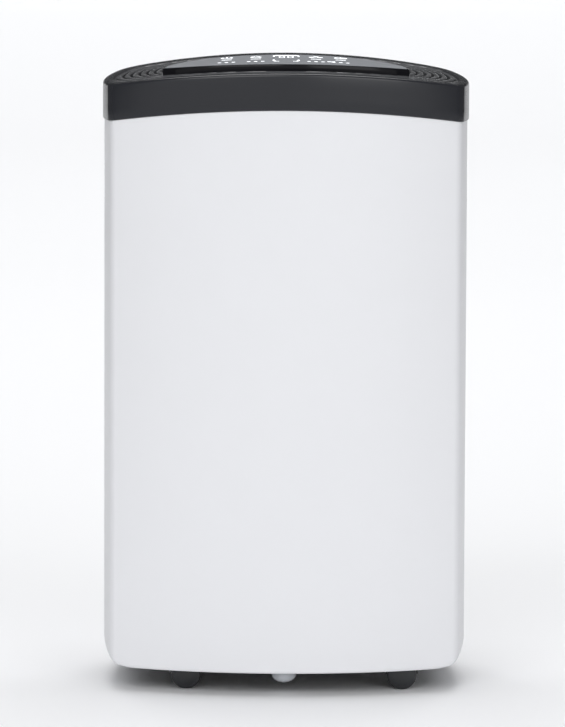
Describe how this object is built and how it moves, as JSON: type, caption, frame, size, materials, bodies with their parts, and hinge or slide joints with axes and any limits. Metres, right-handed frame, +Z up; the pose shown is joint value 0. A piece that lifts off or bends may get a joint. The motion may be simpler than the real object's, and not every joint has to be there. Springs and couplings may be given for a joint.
{
  "type": "dehumidifier",
  "caption": "Upright portable compressor dehumidifier: white bowed casing, black arched top with ring louvres and a raised control pod, rear water tank, swivel casters.",
  "frame": {"origin": "middle of the footprint's box at floor level, under the casters", "axes": "+Z up, the front faces -Y, +X to the right seen from the front"},
  "size_m": [0.29, 0.21, 0.4975],
  "materials": {
    "white_plastic": "satin moulded white",
    "black_plastic": "fine satin black",
    "grey_plastic": "moulded grey",
    "tank_plastic": "smooth pale moulding",
    "clear_plastic": "clear level window",
    "panel_lens": "glossy grey lens",
    "display_glass": "dark display window",
    "circuit_board": "green circuit board",
    "filter_net": "fine nylon net",
    "float_plastic": "white foam-filled float",
    "plug_plastic": "pale translucent plug",
    "rubber": "soft black rubber",
    "copper": "drawn copper tube",
    "aluminium": "plain aluminium",
    "compressor_paint": "black enamel",
    "steel": "zinc-plated steel",
    "caster_plastic": "moulded black nylon",
    "caster_wheel": "hard black tread"
  },
  "bodies": {
    "casing": {"front_shell": "white_plastic", "side_panel_left": "white_plastic", "side_panel_right": "white_plastic", "rear_posts": "white_plastic", "rear_sill": "white_plastic", "rear_shell": "white_plastic", "base_pan": "black_plastic", "side_beams": "black_plastic", "caster_decks": "black_plastic", "top_cover": "black_plastic", "outlet_grille": "black_plastic", "control_pod": "black_plastic", "control_panel": "panel_lens", "display_window": "display_glass", "control_board": "circuit_board", "display_module": "black_plastic", "side_grip_left": "black_plastic", "side_grip_right": "black_plastic", "level_switch": "black_plastic", "drain_outlet": "grey_plastic", "cord_gland": "black_plastic", "compressor": "compressor_paint", "compressor_feet": "rubber", "terminal_cover": "black_plastic", "accumulator": "compressor_paint", "evaporator_coil": "copper", "evaporator_fins": "aluminium", "condenser_coil": "copper", "condenser_fins": "aluminium", "drip_tray": "white_plastic", "fan_scroll": "black_plastic", "scroll_cover": "black_plastic", "fan_motor": "steel", "bulkhead": "steel", "suction_pipe": "copper", "discharge_pipe": "copper", "capillary_tube": "copper", "filter_drier": "copper", "run_capacitor": "aluminium", "power_board": "circuit_board", "humidity_sensor": "white_plastic", "casing_screws": "steel"},
    "tank": {"water_tank": "tank_plastic", "tank_lid": "white_plastic", "level_window": "clear_plastic"},
    "float": {"tank_float": "float_plastic", "float_magnet": "steel"},
    "intake": {"intake_grille": "white_plastic", "filter_frame": "grey_plastic", "filter_mesh": "filter_net"},
    "cap": {"drain_cap": "rubber"},
    "plug": {"drain_plug": "plug_plastic"},
    "fan": {"fan_wheel": "grey_plastic", "motor_shaft": "steel"},
    "caster_fl": {"caster_fl_hood": "caster_plastic", "caster_fl_pins": "steel"},
    "wheels_fl": {"caster_fl_wheels": "caster_wheel"},
    "caster_fr": {"caster_fr_hood": "caster_plastic", "caster_fr_pins": "steel"},
    "wheels_fr": {"caster_fr_wheels": "caster_wheel"},
    "caster_rl": {"caster_rl_hood": "caster_plastic", "caster_rl_pins": "steel"},
    "wheels_rl": {"caster_rl_wheels": "caster_wheel"},
    "caster_rr": {"caster_rr_hood": "caster_plastic", "caster_rr_pins": "steel"},
    "wheels_rr": {"caster_rr_wheels": "caster_wheel"}
  },
  "joints": [
    {"name": "tank_slide", "type": "slide", "parent": "casing", "child": "tank", "axis": [0, 1, 0], "range_m": [0, 0.085]},
    {"name": "float_hinge", "type": "hinge", "parent": "tank", "child": "float", "pos_m": [-0.104, 0.051, 0.15], "axis": [0, -1, 0], "range_deg": [0, 12]},
    {"name": "intake_slide", "type": "slide", "parent": "casing", "child": "intake", "axis": [0, 1, 0], "range_m": [0, 0.04]},
    {"name": "drain_cap_slide", "type": "slide", "parent": "casing", "child": "cap", "axis": [0, 1, 0], "range_m": [0, 0.012]},
    {"name": "drain_plug_slide", "type": "slide", "parent": "casing", "child": "plug", "axis": [0, 0, -1], "range_m": [0, 0.008]},
    {"name": "fan_spin", "type": "hinge", "parent": "casing", "child": "fan", "pos_m": [0, 0, 0.3], "axis": [0, 1, 0], "continuous": true},
    {"name": "swivel_fl", "type": "hinge", "parent": "casing", "child": "caster_fl", "pos_m": [-0.0855, -0.06, 0.03], "axis": [0, 0, 1], "continuous": true},
    {"name": "roll_fl", "type": "hinge", "parent": "caster_fl", "child": "wheels_fl", "pos_m": [-0.0775, -0.06, 0.0115], "axis": [0, 1, 0], "continuous": true},
    {"name": "swivel_fr", "type": "hinge", "parent": "casing", "child": "caster_fr", "pos_m": [0.0855, -0.06, 0.03], "axis": [0, 0, 1], "continuous": true},
    {"name": "roll_fr", "type": "hinge", "parent": "caster_fr", "child": "wheels_fr", "pos_m": [0.0935, -0.06, 0.0115], "axis": [0, 1, 0], "continuous": true},
    {"name": "swivel_rl", "type": "hinge", "parent": "casing", "child": "caster_rl", "pos_m": [-0.0855, 0.06, 0.03], "axis": [0, 0, 1], "continuous": true},
    {"name": "roll_rl", "type": "hinge", "parent": "caster_rl", "child": "wheels_rl", "pos_m": [-0.0775, 0.06, 0.0115], "axis": [0, 1, 0], "continuous": true},
    {"name": "swivel_rr", "type": "hinge", "parent": "casing", "child": "caster_rr", "pos_m": [0.0855, 0.06, 0.03], "axis": [0, 0, 1], "continuous": true},
    {"name": "roll_rr", "type": "hinge", "parent": "caster_rr", "child": "wheels_rr", "pos_m": [0.0935, 0.06, 0.0115], "axis": [0, 1, 0], "continuous": true}
  ]
}
